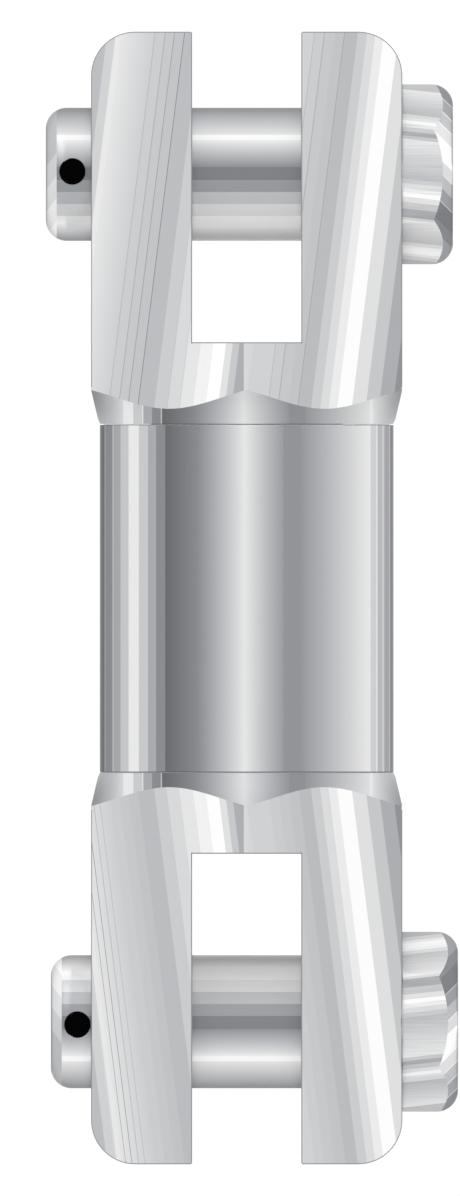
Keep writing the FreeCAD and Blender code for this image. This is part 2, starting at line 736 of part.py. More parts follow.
def main():
    os.makedirs("parts", exist_ok=True)
    for name, shape in build().items():
        if not shape.isValid():
            raise ValueError(name + " is not a valid solid")
        shape.exportStep(os.path.join("parts", name + ".step"))
        print(f"{name:24s} solids {len(shape.Solids):2d}  volume {shape.Volume / 1000:8.3f} cm3")


main()
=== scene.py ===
"""Finishes, studio and camera for a pulling swivel with a clevis at each end.

The main pieces are bright steel. The photograph is a drawing, and shows their reflections
as bands of light and dark. Those bands are painted here as streaks of the base colour:
upright on the housing, slanted on the flats of the hexagon jaws, and lengthwise on the
pins. The places and tones of the streaks were measured on the photograph, which shows the
front alone. The back repeats them. The pieces inside have the finishes that such parts are
bought or turned with.

Tones are numbers from 0, black, to 1, white, as the eye sees them. All places and lengths
on a piece are in millimetres, and its settings are in metres.
"""

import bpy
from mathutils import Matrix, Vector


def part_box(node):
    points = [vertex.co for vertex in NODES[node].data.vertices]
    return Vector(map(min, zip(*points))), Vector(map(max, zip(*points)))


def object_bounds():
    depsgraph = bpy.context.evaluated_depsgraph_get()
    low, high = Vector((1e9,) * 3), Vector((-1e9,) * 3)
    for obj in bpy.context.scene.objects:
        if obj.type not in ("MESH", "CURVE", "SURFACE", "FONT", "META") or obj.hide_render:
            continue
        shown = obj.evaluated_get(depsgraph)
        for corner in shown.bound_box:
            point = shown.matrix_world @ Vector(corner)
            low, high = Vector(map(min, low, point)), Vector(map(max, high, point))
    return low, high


bl_info = {
    "name": "Swivel Clevis Finishes",
    "version": (1, 0, 0),
    "blender": (4, 5, 0),
    "location": "View3D > Sidebar > Swivel",
    "description": "Dresses a pulling swivel in bright steel and sets up its studio",
    "category": "Material",
}

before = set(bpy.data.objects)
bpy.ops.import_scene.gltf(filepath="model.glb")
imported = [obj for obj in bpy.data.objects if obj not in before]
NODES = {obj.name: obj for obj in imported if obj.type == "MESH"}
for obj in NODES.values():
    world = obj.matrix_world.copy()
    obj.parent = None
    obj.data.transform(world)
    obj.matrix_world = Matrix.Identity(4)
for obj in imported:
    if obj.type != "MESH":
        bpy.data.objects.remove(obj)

import math
from collections import namedtuple

import bpy
from bpy.props import FloatProperty, FloatVectorProperty, PointerProperty
from mathutils import Vector

CAD_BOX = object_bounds()

MM = 1000.0              # millimetres in a metre
EYE = 2.2                # power that turns a tone into light
WHITE = (1.0, 1.0, 1.0, 1.0)
BLACK = (0.0, 0.0, 0.0, 1.0)
UNTINTED = (1.0, 1.0, 1.0)
# The cool tint colours the mid tones of the painted reflections.
COOL_TONES = (0.6, 0.92)  # tones between which a cool tint gives way to the light one
HAIR = 0.0006            # width of a streak's edge, as a share of its whole set
LINE_WIDTH = 0.16        # width of a fine line

# Sockets of a Mix node that mixes colours.
MIX_FACTOR, MIX_FIRST, MIX_SECOND, MIX_COLOUR = 0, 6, 7, 2

# Sizes that more than one piece is dressed by.
NECK_R = 23.0            # neck of the upper jaw, which fills the middle of the running gap
SLOT_HALF = 13.0         # half the width of a jaw's slot
RIM = 0.2                # width of a rim at the running gap and of a chamfer at the lower joint

# Lengths of scratches along each axis.
BAR_SCRATCHES = (0.4, 0.4, 20.0)
PIN_SCRATCHES = (14.0, 0.35, 0.35)
CUTTER_MARKS = (0.5, 30.0, 0.5)

# How far a surface faces along an axis, from 0 to 1.
SQUARE = 0.95            # from here on it counts as square to the axis
LEVEL = 0.3              # up to here it counts as running along the axis

# A run of streaks of painted reflection from start to end, across the piece. Its tone goes from
# first to last, evenly or in steps. Line is how much lighter the fine line at the foot of each
# step is.
Run = namedtuple("Run", "start end first last steps line", defaults=(0, 0.0))

# Across the housing, as a share of its radius, from its left side to its right.
HOUSING_RUNS = (
    Run(-1.0, -0.971, 0.38, 0.38, 1),
    Run(-0.971, -0.962, 0.67, 0.67, 1),
    Run(-0.962, -0.919, 0.57, 0.57, 1),
    Run(-0.919, -0.907, 0.77, 0.77, 1),
    Run(-0.907, -0.867, 0.67, 0.67, 1),
    Run(-0.867, -0.811, 0.785, 0.785, 1),
    Run(-0.811, -0.736, 0.915, 0.915, 1),
    Run(-0.736, -0.558, 0.785, 0.55, 3),
    Run(-0.558, -0.34, 0.42, 0.54),
    Run(-0.34, -0.009, 0.54, 0.91),
    Run(-0.009, 0.245, 0.90, 0.62),
    Run(0.245, 0.36, 0.583, 0.583, 1),
    Run(0.36, 0.843, 0.59, 0.925),
    Run(0.843, 0.877, 0.83, 0.83, 1),
    Run(0.877, 0.884, 0.95, 0.95, 1),
    Run(0.884, 0.919, 0.76, 0.76, 1),
    Run(0.919, 0.931, 0.85, 0.85, 1),
    Run(0.931, 0.963, 0.70, 0.70, 1),
    Run(0.963, 0.972, 0.84, 0.84, 1),
    Run(0.972, 1.0, 0.54, 0.54, 1),
)
# Across the collar of a jaw, from its middle.
COLLAR_RUNS = (
    Run(-38.0, -33.5, 0.25, 0.64),
    Run(-33.5, -29.4, 0.64, 0.86),
    Run(-29.4, -27.2, 0.935, 0.935, 1),
    Run(-27.2, -20.6, 0.80, 0.533, 3, 0.24),
    Run(-20.6, -20.3, 0.76, 0.76, 1),
    Run(-20.3, -12.6, 0.385, 0.533),
    Run(-12.6, -0.8, 0.533, 0.905),
    Run(-0.8, 9.9, 0.912, 0.60),
    Run(9.9, 13.9, 0.568, 0.568, 1),
    Run(13.9, 29.3, 0.59, 0.902),
    Run(29.3, 29.7, 0.945, 0.945, 1),
    Run(29.7, 33.0, 0.92, 0.747),
    Run(33.0, 38.0, 0.747, 0.38),
)

# Across the left and right flats of a jaw, from its middle corner. The streaks lean, so
# they are laid out at one height and run past the edges of the flats.
LEFT_FLAT_RUNS = (
    Run(-54.0, -43.7, 0.74, 0.74, 1),
    Run(-43.7, -41.7, 0.82, 0.82, 1),
    Run(-41.7, -40.4, 0.91, 0.91, 1),
    Run(-40.4, -32.3, 0.90, 0.81),
    Run(-32.3, -25.3, 0.80, 0.765, 3),
    Run(-25.3, -21.4, 0.74, 0.74, 1),
    Run(-21.4, -6.2, 0.80, 1.0, 5),
    Run(-6.2, -1.3, 0.885, 0.685, 3),
    Run(-1.3, 5.0, 0.68, 0.68, 1),
)
RIGHT_FLAT_RUNS = (
    Run(-5.0, 5.8, 0.845, 0.825, 2),
    Run(5.8, 13.0, 0.805, 0.77, 3),
    Run(13.0, 16.1, 0.74, 0.74, 1),
    Run(16.1, 22.3, 0.805, 0.93, 3),
    Run(22.3, 25.8, 1.0, 1.0, 1),
    Run(25.8, 35.5, 0.885, 0.685, 3),
    Run(35.5, 42.0, 0.58, 0.58, 1),
)
# Fine dark lines of painted reflection on the flats of a jaw, as (place, depth of tone).
UPPER_JAW_LINES = (
    (-32.4, 0.09), (-30.0, 0.13), (-27.7, 0.16), (-25.4, 0.21), (-21.4, 0.09), (-18.3, 0.08),
    (-15.4, 0.08), (5.6, 0.09), (8.0, 0.13), (10.3, 0.13), (12.8, 0.13),
)
LOWER_JAW_LINES = ((-41.5, 0.14), (-39.3, 0.26), (-37.8, 0.24), (-36.2, 0.17), (-34.7, 0.09))

# Across a pin, as a share of its radius, from the side that faces the open end of its jaw.
SHANK_RUNS = (
    Run(-1.0, -0.60, 0.61, 0.885),
    Run(-0.60, -0.52, 0.97, 0.97, 1),
    Run(-0.52, -0.43, 0.93, 0.84),
    Run(-0.43, -0.11, 0.84, 0.57),
    Run(-0.11, 0.085, 0.51, 0.51, 1),
    Run(0.085, 0.265, 0.605, 0.605, 1),
    Run(0.265, 0.445, 0.71, 0.71, 1),
    Run(0.445, 0.62, 0.81, 0.81, 1),
    Run(0.62, 0.74, 0.895, 0.955),
    Run(0.74, 1.0, 0.945, 0.66),
)
# Across the flats of a pin's head, from its axis towards the foot of its jaw.
HEAD_FLAT_RUNS = (
    Run(-26.0, -20.3, 0.78, 0.78, 1),
    Run(-20.3, -14.3, 0.93, 0.75),
    Run(-14.3, -12.9, 0.87, 0.90, 2),
    Run(-12.9, -12.0, 1.0, 1.0, 1),
    Run(-12.0, -11.3, 0.89, 0.89, 1),
    Run(-11.3, -10.3, 0.79, 0.79, 1),
    Run(-10.3, -9.2, 0.68, 0.68, 1),
    Run(-9.2, -8.4, 0.78, 0.78, 1),
    Run(-8.4, 1.2, 0.91, 0.74),
    Run(1.2, 4.3, 0.795, 0.93, 3),
    Run(4.3, 5.3, 1.0, 1.0, 1),
    Run(5.3, 6.6, 0.89, 0.89, 1),
    Run(6.6, 8.2, 0.79, 0.79, 1),
    Run(8.2, 10.2, 0.68, 0.68, 1),
    Run(10.2, 10.8, 0.85, 0.85, 1),
    Run(10.8, 16.2, 0.95, 0.79),
    Run(16.2, 17.6, 0.89, 0.97, 2),
    Run(17.6, 18.7, 1.0, 1.0, 1),
    Run(18.7, 19.3, 0.93, 0.93, 1),
    Run(19.3, 20.2, 0.84, 0.84, 1),
    Run(20.2, 26.0, 0.75, 0.75, 1),
)
# On the slant across the rounded end of a head, and across that of a pin's tip.
HEAD_ROUND_RUNS = (
    Run(-32.0, -15.9, 0.59, 0.59, 1),
    Run(-15.9, -6.0, 0.68, 0.90, 3, 0.2),
    Run(-6.0, -0.9, 1.0, 1.0, 1),
    Run(-0.9, 9.1, 0.87, 0.625, 3, 0.2),
    Run(9.1, 14.4, 0.515, 0.515, 1, 0.3),
    Run(14.4, 17.6, 0.57, 0.57, 1),
    Run(17.6, 32.0, 0.65, 0.65, 1),
)
TIP_ROUND_RUNS = (
    Run(-24.0, -1.8, 0.82, 0.735),
    Run(-1.8, 14.5, 0.80, 0.935, 3),
    Run(14.5, 30.0, 1.0, 1.0, 1),
)


class Wire:
    """An output in a shader tree. Python's operators on it add Math nodes."""

    def __init__(self, tree, socket):
        self.tree = tree
        self.socket = socket

    def __add__(self, other):
        return self.tree.math("ADD", self, other)

    def __sub__(self, other):
        return self.tree.math("SUBTRACT", self, other)

    def __rsub__(self, other):
        return self.tree.math("SUBTRACT", other, self)

    def __mul__(self, other):
        return self.tree.math("MULTIPLY", self, other)

    def __truediv__(self, other):
        return self.tree.math("DIVIDE", self, other)

    def __rtruediv__(self, other):
        return self.tree.math("DIVIDE", other, self)

    def __pow__(self, other):
        return self.tree.math("POWER", self, other)

    def __gt__(self, other):
        return self.tree.math("GREATER_THAN", self, other)

    def __lt__(self, other):
        return self.tree.math("LESS_THAN", self, other)

    def __neg__(self):
        return self.tree.math("MULTIPLY", self, -1.0)

    def __abs__(self):
        return self.tree.math("ABSOLUTE", self)

    __radd__ = __add__
    __rmul__ = __mul__


class Tree:
    """A shader tree that is being built."""

    def __init__(self, tree):
        self.tree = tree

    def add(self, kind, settings=None, sockets=None, output=0):
        """Adds a node: first its settings, then the values or links of its sockets."""
        node = self.tree.nodes.new(kind)
        for name, value in (settings or {}).items():
            if name == "stops":
                set_stops(node.color_ramp, value)
            elif name == "interpolation":
                node.color_ramp.interpolation = value
            else:
                setattr(node, name, value)
        for name, value in (sockets or {}).items():
            self.connect(value, node.inputs[name])
        return Wire(self, node.outputs[output])

    def connect(self, value, socket):
        if isinstance(value, Wire):
            self.tree.links.new(value.socket, socket)
        else:
            socket.default_value = value

    def math(self, operation, *values):
        return self.add("ShaderNodeMath", {"operation": operation}, dict(enumerate(values)))

    def ramp(self, along, stops, interpolation="LINEAR"):
        """A tone that follows stops of (place, tone), with places from 0 to 1."""
        settings = {"interpolation": interpolation, "stops": stops}
        return self.add("ShaderNodeValToRGB", settings, {"Fac": along})

    def blend(self, factor, first, second):
        """A colour between two colours."""
        sockets = {MIX_FACTOR: factor, MIX_FIRST: first, MIX_SECOND: second}
        return self.add("ShaderNodeMix", {"data_type": "RGBA"}, sockets, MIX_COLOUR)


def set_stops(ramp, stops):
    """Gives a ramp its stops of (place, tone), in order of place."""
    elements = ramp.elements
    while len(elements) < len(stops):
        elements.new(1.0)
    for element, (place, tone) in zip(elements, stops):
        element.position = place
        element.color = (tone, tone, tone, 1.0)


def choose(mask, inside, outside):
    """One number where the mask is 1, and another where it is 0."""
    return mask * inside + (1 - mask) * outside


def between(value, low, high):
    """1 where the value lies between low and high, and 0 elsewhere."""
    return (value > low) * (value < high)


def either(first, second):
    """1 where one of two masks is 1, or both are."""
    return first.tree.math("MAXIMUM", first, second)


def distance(first, second):
    """Distance from an axis, from the distances along the two others."""
    return (first * first + second * second) ** 0.5


def around(pattern, reach):
    """A pattern that goes up and down by half its reach around 0."""
    return (pattern - 0.5) * reach


def ranging(pattern, low, high):
    """A pattern that goes from low to high."""
    return low + pattern * (high - low)


class Finish(Tree):
    """A material that is being built, on its Principled shader."""

    def __init__(self, name, constants):
        self.material = bpy.data.materials.new(name)
        self.material.use_nodes = True
        super().__init__(self.material.node_tree)
        self.shader = self.tree.nodes["Principled BSDF"]
        for socket, value in constants.items():
            self.shader.inputs[socket].default_value = value

    def split(self, vector):
        outputs = self.add("ShaderNodeSeparateXYZ", None, {0: vector}).socket.node.outputs
        return [Wire(self, output) for output in outputs]

    def join(self, x, y, z):
        return self.add("ShaderNodeCombineXYZ", None, {0: x, 1: y, 2: z})

    def place(self):
        """Position on the piece at rest, in millimetres."""
        metres = self.add("ShaderNodeTexCoord", None, None, "Object")
        return self.add("ShaderNodeVectorMath", {"operation": "SCALE"}, {0: metres, "Scale": MM})

    def facing(self):
        """The way that the surface faces on the piece at rest, as three numbers."""
        return self.split(self.add("ShaderNodeTexCoord", None, None, "Normal"))

    def streaks(self, across, runs):
        """The tone of a set of runs, in which even runs and stepped ones may be mixed."""
        start, span = runs[0].start, runs[-1].end - runs[0].start
        along = (across - start) / span
        even, stepped, is_even = [], [], []
        for run in runs:
            foot, width = (run.start - start) / span, (run.end - run.start) / span
            is_even.append((foot, 0.0 if run.steps else 1.0))
            if not run.steps:
                even += [(foot, run.first), (foot + width - HAIR, run.last)]
                stepped.append((foot, run.first))
            for step in range(run.steps):
                tone = run.first + (run.last - run.first) * step / max(run.steps - 1, 1)
                place = foot + width * step / run.steps
                if run.line:
                    stepped.append((place, min(tone + run.line, 1.0)))
                    place += LINE_WIDTH / span
                stepped.append((place, tone))
        tone = self.ramp(along, stepped, "CONSTANT")
        if even:
            tone = choose(self.ramp(along, is_even, "CONSTANT"), self.ramp(along, even), tone)
        return tone

    def lines(self, across, lines):
        """How much darker fine lines of (place, depth of tone) make the surface."""
        margin = 1.0
        start = lines[0][0] - margin
        span = lines[-1][0] + margin - start
        stops = [(0.0, 0.0)]
        for place, depth in lines:
            foot = (place - start) / span
            stops += [(foot, depth), (foot + LINE_WIDTH / span, 0.0)]
        return self.ramp((across - start) / span, stops, "CONSTANT")

    def scratches(self, place, lengths, detail=3.0):
        """Fine scratches, from 0 to 1, of a length along each axis."""
        shares = [1.0 / length for length in lengths]
        operation = {"operation": "MULTIPLY"}
        stretched = self.add("ShaderNodeVectorMath", operation, {0: place, 1: shares})
        sockets = {"Vector": stretched, "Scale": 1.0, "Detail": detail, "Roughness": 0.6}
        return self.add("ShaderNodeTexNoise", None, sockets)

    def grain(self, place, size, detail=3.0):
        """Grain, pits or clouds, from 0 to 1, of one size all ways."""
        return self.scratches(place, (size, size, size), detail)

    def rings(self, side, up, along, pitch):
        """Rings that turning leaves around an axis, from 0 to 1."""
        return self.grain(self.join(distance(side, up), 0.0, along), pitch)

    def turned(self, place, pitch):
        """Rings around Z, from 0 to 1."""
        return self.rings(*self.split(place), pitch)

    def paint(self, tone, tint=UNTINTED, cool=None):
        """Base colour from a tone and a tint, with a tint for the mid tones if there is one."""
        light = (*tint, 1.0)
        if cool:
            low, high = COOL_TONES
            light = self.blend((tone - low) / (high - low), (*cool, 1.0), light)
        self.connect(self.blend(tone ** EYE, BLACK, light), self.shader.inputs["Base Color"])

    def roughen(self, roughness):
        self.connect(roughness, self.shader.inputs["Roughness"])

    def ripple(self, height, depth):
        """Bump of a depth in millimetres, which follows a height from 0 to 1."""
        sockets = {"Strength": 1.0, "Distance": depth / MM, "Height": height}
        bump = self.add("ShaderNodeBump", None, sockets)
        self.connect(bump, self.shader.inputs["Normal"])

    def dress(self, *names):
        """Makes this the only material of the named pieces."""
        for name in names:
            materials = NODES[name].data.materials
            materials.clear()
            materials.append(self.material)


def metal(name):
    """A metal whose reflections darken a little towards its outline."""
    return Finish(name, {"Metallic": 1.0, "Specular Tint": (0.6, 0.6, 0.6, 1.0)})


def box_mm(node):
    """Lowest and highest corners of a piece at rest, in millimetres."""
    low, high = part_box(node)
    return low * MM, high * MM


HOUSING_LOW, HOUSING_HIGH = box_mm("swivel_housing")


class SteelSettings(bpy.types.PropertyGroup):
    """Bright steel of the housing, the jaws and the pins"""

    tint: FloatVectorProperty(
        name="Light tint", description="Colour of the brightest steel", subtype="COLOR",
        default=(1.0, 1.0, 1.0), min=0.0, max=1.0)
    # The cool tint colours the mid tones of the painted reflections.
    cool_tint: FloatVectorProperty(
        name="Cool tint", description="Colour of the mid tones against the brightest steel",
        subtype="COLOR", default=(0.97, 1.0, 1.06), min=0.0, max=1.2)
    lean: FloatProperty(
        name="Lean", description="Sideways run of a jaw's streaks for each unit of height",
        default=0.125, min=0.0, max=1.0, subtype="FACTOR")
    lean_height: FloatProperty(
        name="Lean height", description="Height above the housing at which they are laid out",
        default=0.0104, min=0.0, max=0.1, unit="LENGTH")
    milled_tone: FloatProperty(
        name="Milled tone", description="Tone of bores, ear ends and end faces",
        default=0.88, min=0.0, max=1.0, subtype="FACTOR")
    slot_tone: FloatProperty(
        name="Slot tone", description="Tone of the blasted floor and walls of a slot",
        default=0.965, min=0.0, max=1.0, subtype="FACTOR")
    milling: FloatProperty(
        name="Milling", description="How far the cutter's marks move the tone of a milled face",
        default=0.14, min=0.0, max=0.5, subtype="FACTOR")
    # Painted light: how much lighter the side of a pin that its slot shades is painted.
    shaded_side_lift: FloatProperty(
        name="Shaded side lift", description="How much lighter a pin's shaded side in the slot is made",
        default=0.13, min=0.0, max=1.0, subtype="FACTOR")
    # Painted light: the lower pin is painted lighter, since its open side faces the floor and
    # takes less light.
    lower_pin_lift: FloatProperty(
        name="Lower pin lift", description="Brightness of the lower pin against the upper one",
        default=1.035, min=0.0, max=2.0)
    # Painted shade: the dark line of shade in the groove where the lower jaw is screwed in.
    joint_shade_tone: FloatProperty(
        name="Joint tone", description="Tone of the fine line where the lower jaw is screwed in",
        default=0.57, min=0.0, max=1.0, subtype="FACTOR")
    # Painted light and shade: the rims at the running gap are lighter in front of the neck and
    # darker beside it, which sets how dark the gap's line looks.
    rim_lift: FloatProperty(
        name="Rim lift", description="Brightness of the running gap's rims in front of the neck",
        default=1.2, min=0.0, max=2.0)
    rim_dip: FloatProperty(
        name="Rim dip", description="Brightness of those rims beside the neck",
        default=0.72, min=0.0, max=2.0)
    # Painted shade: the lower collar is painted darker, since it faces up and takes more light.
    top_lit: FloatProperty(
        name="Top lit", description="Brightness of the lower collar, which faces the sky",
        default=0.954, min=0.0, max=2.0)
    # Painted shade: the broken edges of the jaws are painted darker, to outline the flats.
    edge_shade_tone: FloatProperty(
        name="Edge tone", description="Tone of the broken edges",
        default=0.62, min=0.0, max=1.0, subtype="FACTOR")
    grain_tone: FloatProperty(
        name="Grain", description="How far fine scratches move the tone",
        default=0.02, min=0.0, max=0.5, subtype="FACTOR")
    head_grain_tone: FloatProperty(
        name="Head grain", description="How far fine scratches move the tone of a pin's head",
        default=0.16, min=0.0, max=0.5, subtype="FACTOR")
    smoothest: FloatProperty(
        name="Smoothest", description="Roughness of the best polished grain",
        default=0.24, min=0.0, max=1.0, subtype="FACTOR")
    roughest: FloatProperty(
        name="Roughest", description="Roughness of the dullest grain",
        default=0.36, min=0.0, max=1.0, subtype="FACTOR")
    milled_roughness: FloatProperty(
        name="Milled roughness", description="Roughness of slots, bores and ear ends",
        default=0.5, min=0.0, max=1.0, subtype="FACTOR")


class InnerSettings(bpy.types.PropertyGroup):
    """Keeper pins and the pieces inside the housing"""

    oxide_tone: FloatProperty(
        name="Black oxide", description="Tone of the ends of the keeper pins",
        default=0.01, min=0.0, max=1.0, subtype="FACTOR")
    rubbed_tone: FloatProperty(
        name="Rubbed oxide", description="How much lighter the sides of the keeper pins are",
        default=0.16, min=0.0, max=1.0, subtype="FACTOR")
    screw_tone: FloatProperty(
        name="Screw", description="Tone of the lock screw",
        default=0.42, min=0.0, max=1.0, subtype="FACTOR")
    ground_tone: FloatProperty(
        name="Ground steel", description="Tone of the bearings' rings and washers",
        default=0.84, min=0.0, max=1.0, subtype="FACTOR")
    turned_tone: FloatProperty(
        name="Turned steel", description="Tone of the nut and its spacer",
        default=0.76, min=0.0, max=1.0, subtype="FACTOR")
    spring_tone: FloatProperty(
        name="Spring steel", description="Tone of the spring, the circlip and the split pin",
        default=0.62, min=0.0, max=1.0, subtype="FACTOR")
    brass: FloatVectorProperty(
        name="Brass", description="Colour of the ball cages", subtype="COLOR",
        default=(0.89, 0.68, 0.34), min=0.0, max=1.0)
    bronze: FloatVectorProperty(
        name="Bronze", description="Colour of the flanged bush", subtype="COLOR",
        default=(0.80, 0.52, 0.30), min=0.0, max=1.0)
    zinc: FloatVectorProperty(
        name="Zinc", description="Colour of the plated grease nipple", subtype="COLOR",
        default=(0.88, 0.90, 0.94), min=0.0, max=1.0)
    seal_tone: FloatProperty(
        name="Seal", description="Tone of the pale fluoroplastic shaft seal",
        default=0.93, min=0.0, max=1.0, subtype="FACTOR")
    rubber_tone: FloatProperty(
        name="Rubber", description="Tone of the joint ring",
        default=0.24, min=0.0, max=1.0, subtype="FACTOR")


class StudioSettings(bpy.types.PropertyGroup):
    """Floor, light and camera"""

    frame_height: FloatProperty(
        name="Frame height", description="Height that the camera's frame takes in",
        default=0.2851, min=0.01, max=10.0, unit="LENGTH")
    axis_offset: FloatProperty(
        name="Axis offset", description="How far right of the frame's middle the swivel stands",
        default=0.00398, min=-1.0, max=1.0, unit="LENGTH")
    middle_height: FloatProperty(
        name="Middle height", description="Height of the frame's middle above the lower pin",
        default=0.101, min=-1.0, max=1.0, unit="LENGTH")
    sky: FloatProperty(
        name="Sky", description="Strength of the even white light from all around",
        default=1.04, min=0.0, max=5.0)
    floor_tone: FloatProperty(
        name="Floor tone", description="Tone of the pale floor",
        default=0.93, min=0.0, max=1.0, subtype="FACTOR")
    lamp_power: FloatProperty(
        name="Lamp power", description="Power of the soft lamp, in watts",
        default=1.5, min=0.0, max=1000.0, unit="POWER")
    lamp_size: FloatProperty(
        name="Lamp size", description="Width of the soft lamp",
        default=1.2, min=0.01, max=10.0, unit="LENGTH")


def finish_steel(finish, settings, place, tone, lengths, milled, dull, grain_tone=None):
    """Adds the scratches that all the bright steel shares, of a length along each axis.
    Milled is 1 where it isn't polished, and dull where it isn't metallic, so that its tone
    shows as it is written."""
    scratches = finish.scratches(place, lengths)
    shift = around(scratches, grain_tone or settings.grain_tone)
    finish.paint(tone + shift, settings.tint, settings.cool_tint)
    polished = ranging(scratches, settings.smoothest, settings.roughest)
    finish.roughen(choose(milled, settings.milled_roughness, polished))
    finish.connect(1 - dull, finish.shader.inputs["Metallic"])
    finish.ripple(scratches, depth=0.01)


class SWIVEL_OT_housing(bpy.types.Operator):
    """Dress the housing in drawn tube with upright streaks of painted reflection"""

    bl_idname = "swivel.housing"
    bl_label = "Housing"

    def execute(self, context):
        settings = context.scene.swivel_steel
        radius, top = HOUSING_HIGH.x, HOUSING_HIGH.z
        skin = 0.05              # depth of the outer face that carries the streaks
        mouth_width = 5.0        # blasted ring under the upper jaw
        finish = metal("drawn_tube")
        place = finish.place()
        x, y, z = finish.split(place)
        facing_z = finish.facing()[2]
        seen = x * finish.math("SIGN", -y)
        streaks = finish.streaks(seen / radius, HOUSING_RUNS)
        from_axis = distance(x, y)
        outside = (from_axis > radius - skin) * (abs(facing_z) < LEVEL)
        edge = (from_axis > radius - RIM) * (1 - outside)
        foot_edge = edge * (facing_z < -LEVEL)
        # Painted light and shade on the rims at the running gap, lighter in front of the neck
        # and darker beside it.
        rim = choose(abs(x) < NECK_R, settings.rim_lift, settings.rim_dip)
        mouth = (from_axis > radius - mouth_width) * (z > top - RIM) * (1 - outside)
        tone = choose(mouth, settings.slot_tone, settings.milled_tone)
        tone = choose(outside, streaks, choose(edge, streaks * rim, tone))
        # Painted shade: the housing's chamfer at the lower joint takes the joint's dark line.
        tone = choose(foot_edge, settings.joint_shade_tone, tone)
        finish_steel(finish, settings, place, tone, BAR_SCRATCHES, 1 - outside, mouth)
        finish.dress("swivel_housing")
        return {"FINISHED"}


class SWIVEL_OT_jaws(bpy.types.Operator):
    """Dress the jaws in bright hexagon bar with slanted streaks of painted reflection, mirrored
    between the two
    """

    bl_idname = "swivel.jaws"
    bl_label = "Jaws"

    def execute(self, context):
        settings = context.scene.swivel_steel
        self.dress_jaw("upper_clevis", 1, UPPER_JAW_LINES, settings)
        self.dress_jaw("lower_clevis", -1, LOWER_JAW_LINES, settings)
        return {"FINISHED"}

    def dress_jaw(self, node, up, lines, settings):
        """Up is 1 for the upper jaw, and -1 for the lower one, which is its mirror image."""
        collar_top = 9.0         # height of the collar above the housing
        ridge_shift = 0.7        # how far left of the axis the two flats' streaks meet
        ridge_half = 1.0         # half the width that counts as the ridge
        side_shift = 16.0        # how far the left flat's streaks are moved on the side flats
        foot_height = 0.5        # up to here a level face is the one over the housing
        skin = 0.05              # how far past the slot's walls the blasting shows
        front_from = 0.8         # how far the front and back flats face along Y at least
        front_tilt = 0.25        # and how far along Z at most
        ridge_tilt = 0.2         # how far the broken edges face along X at least
        turned_in = -1.0         # a face that turns further in than this is the slot's
        side_from = HOUSING_HIGH.x + 0.1  # the side flats lie further out than this
        foot = HOUSING_HIGH.z if up > 0 else HOUSING_LOW.z
        finish = metal(node + "_steel")
        place = finish.place()
        x, y, z = finish.split(place)
        facing_x, facing_y, facing_z = finish.facing()
        outward = facing_x * x
        facing_x, facing_y, facing_z = abs(facing_x), abs(facing_y), abs(facing_z)
        height = (z - foot) * up
        seen = x * finish.math("SIGN", -y)

        on_side = (facing_x > SQUARE) * (abs(x) > side_from)
        across = choose(on_side, y * finish.math("SIGN", x) - side_shift, seen)
        slanted = across - (height - settings.lean_height * MM) * settings.lean
        on_right = (seen > -ridge_shift) * (1 - on_side)
        left = finish.streaks(slanted, LEFT_FLAT_RUNS)
        right = finish.streaks(slanted, RIGHT_FLAT_RUNS)
        flats = choose(on_right, right, left) - finish.lines(slanted, lines)
        on_front = (facing_y > front_from) * (facing_z < front_tilt) * (outward > turned_in)
        on_flat = either(on_side, on_front)

        on_collar = between(facing_z, LEVEL, SQUARE) * (height < collar_top)
        collar = finish.streaks(seen, COLLAR_RUNS)
        if up > 0:
            # Painted light and shade on the rim at the running gap, as on the housing.
            rim = choose(abs(x) < NECK_R, settings.rim_lift, settings.rim_dip)
            collar = collar * choose(height < RIM, rim, 1.0)
        else:
            # Painted shade: the lower collar is darker by top_lit, and its chamfer at the joint
            # is the joint's line of painted shade.
            collar = choose(height < RIM, settings.joint_shade_tone, collar * settings.top_lit)
        beside_ridge = either(facing_x > ridge_tilt, abs(x) < ridge_half)
        on_edge = (facing_y > LEVEL) * beside_ridge * (height > collar_top)

        in_slot = (abs(x) < SLOT_HALF + skin) * (height > collar_top) * (1 - on_front)
        over_housing = (height < foot_height) * (facing_z > SQUARE)
        blasted = either(in_slot, over_housing)
        cuts = around(finish.scratches(place, CUTTER_MARKS), settings.milling)
        tone = choose(blasted, settings.slot_tone, settings.milled_tone) + cuts
        # Painted shade: the broken edges are darker, to outline the flats.
        tone = choose(on_edge, settings.edge_shade_tone, tone)
        tone = choose(on_flat, flats, choose(on_collar, collar, tone))
        milled = 1 - either(on_flat, on_collar)
        dull = either(blasted, on_collar)
        finish_steel(finish, settings, place, tone, BAR_SCRATCHES, milled, dull)
        finish.dress(node)


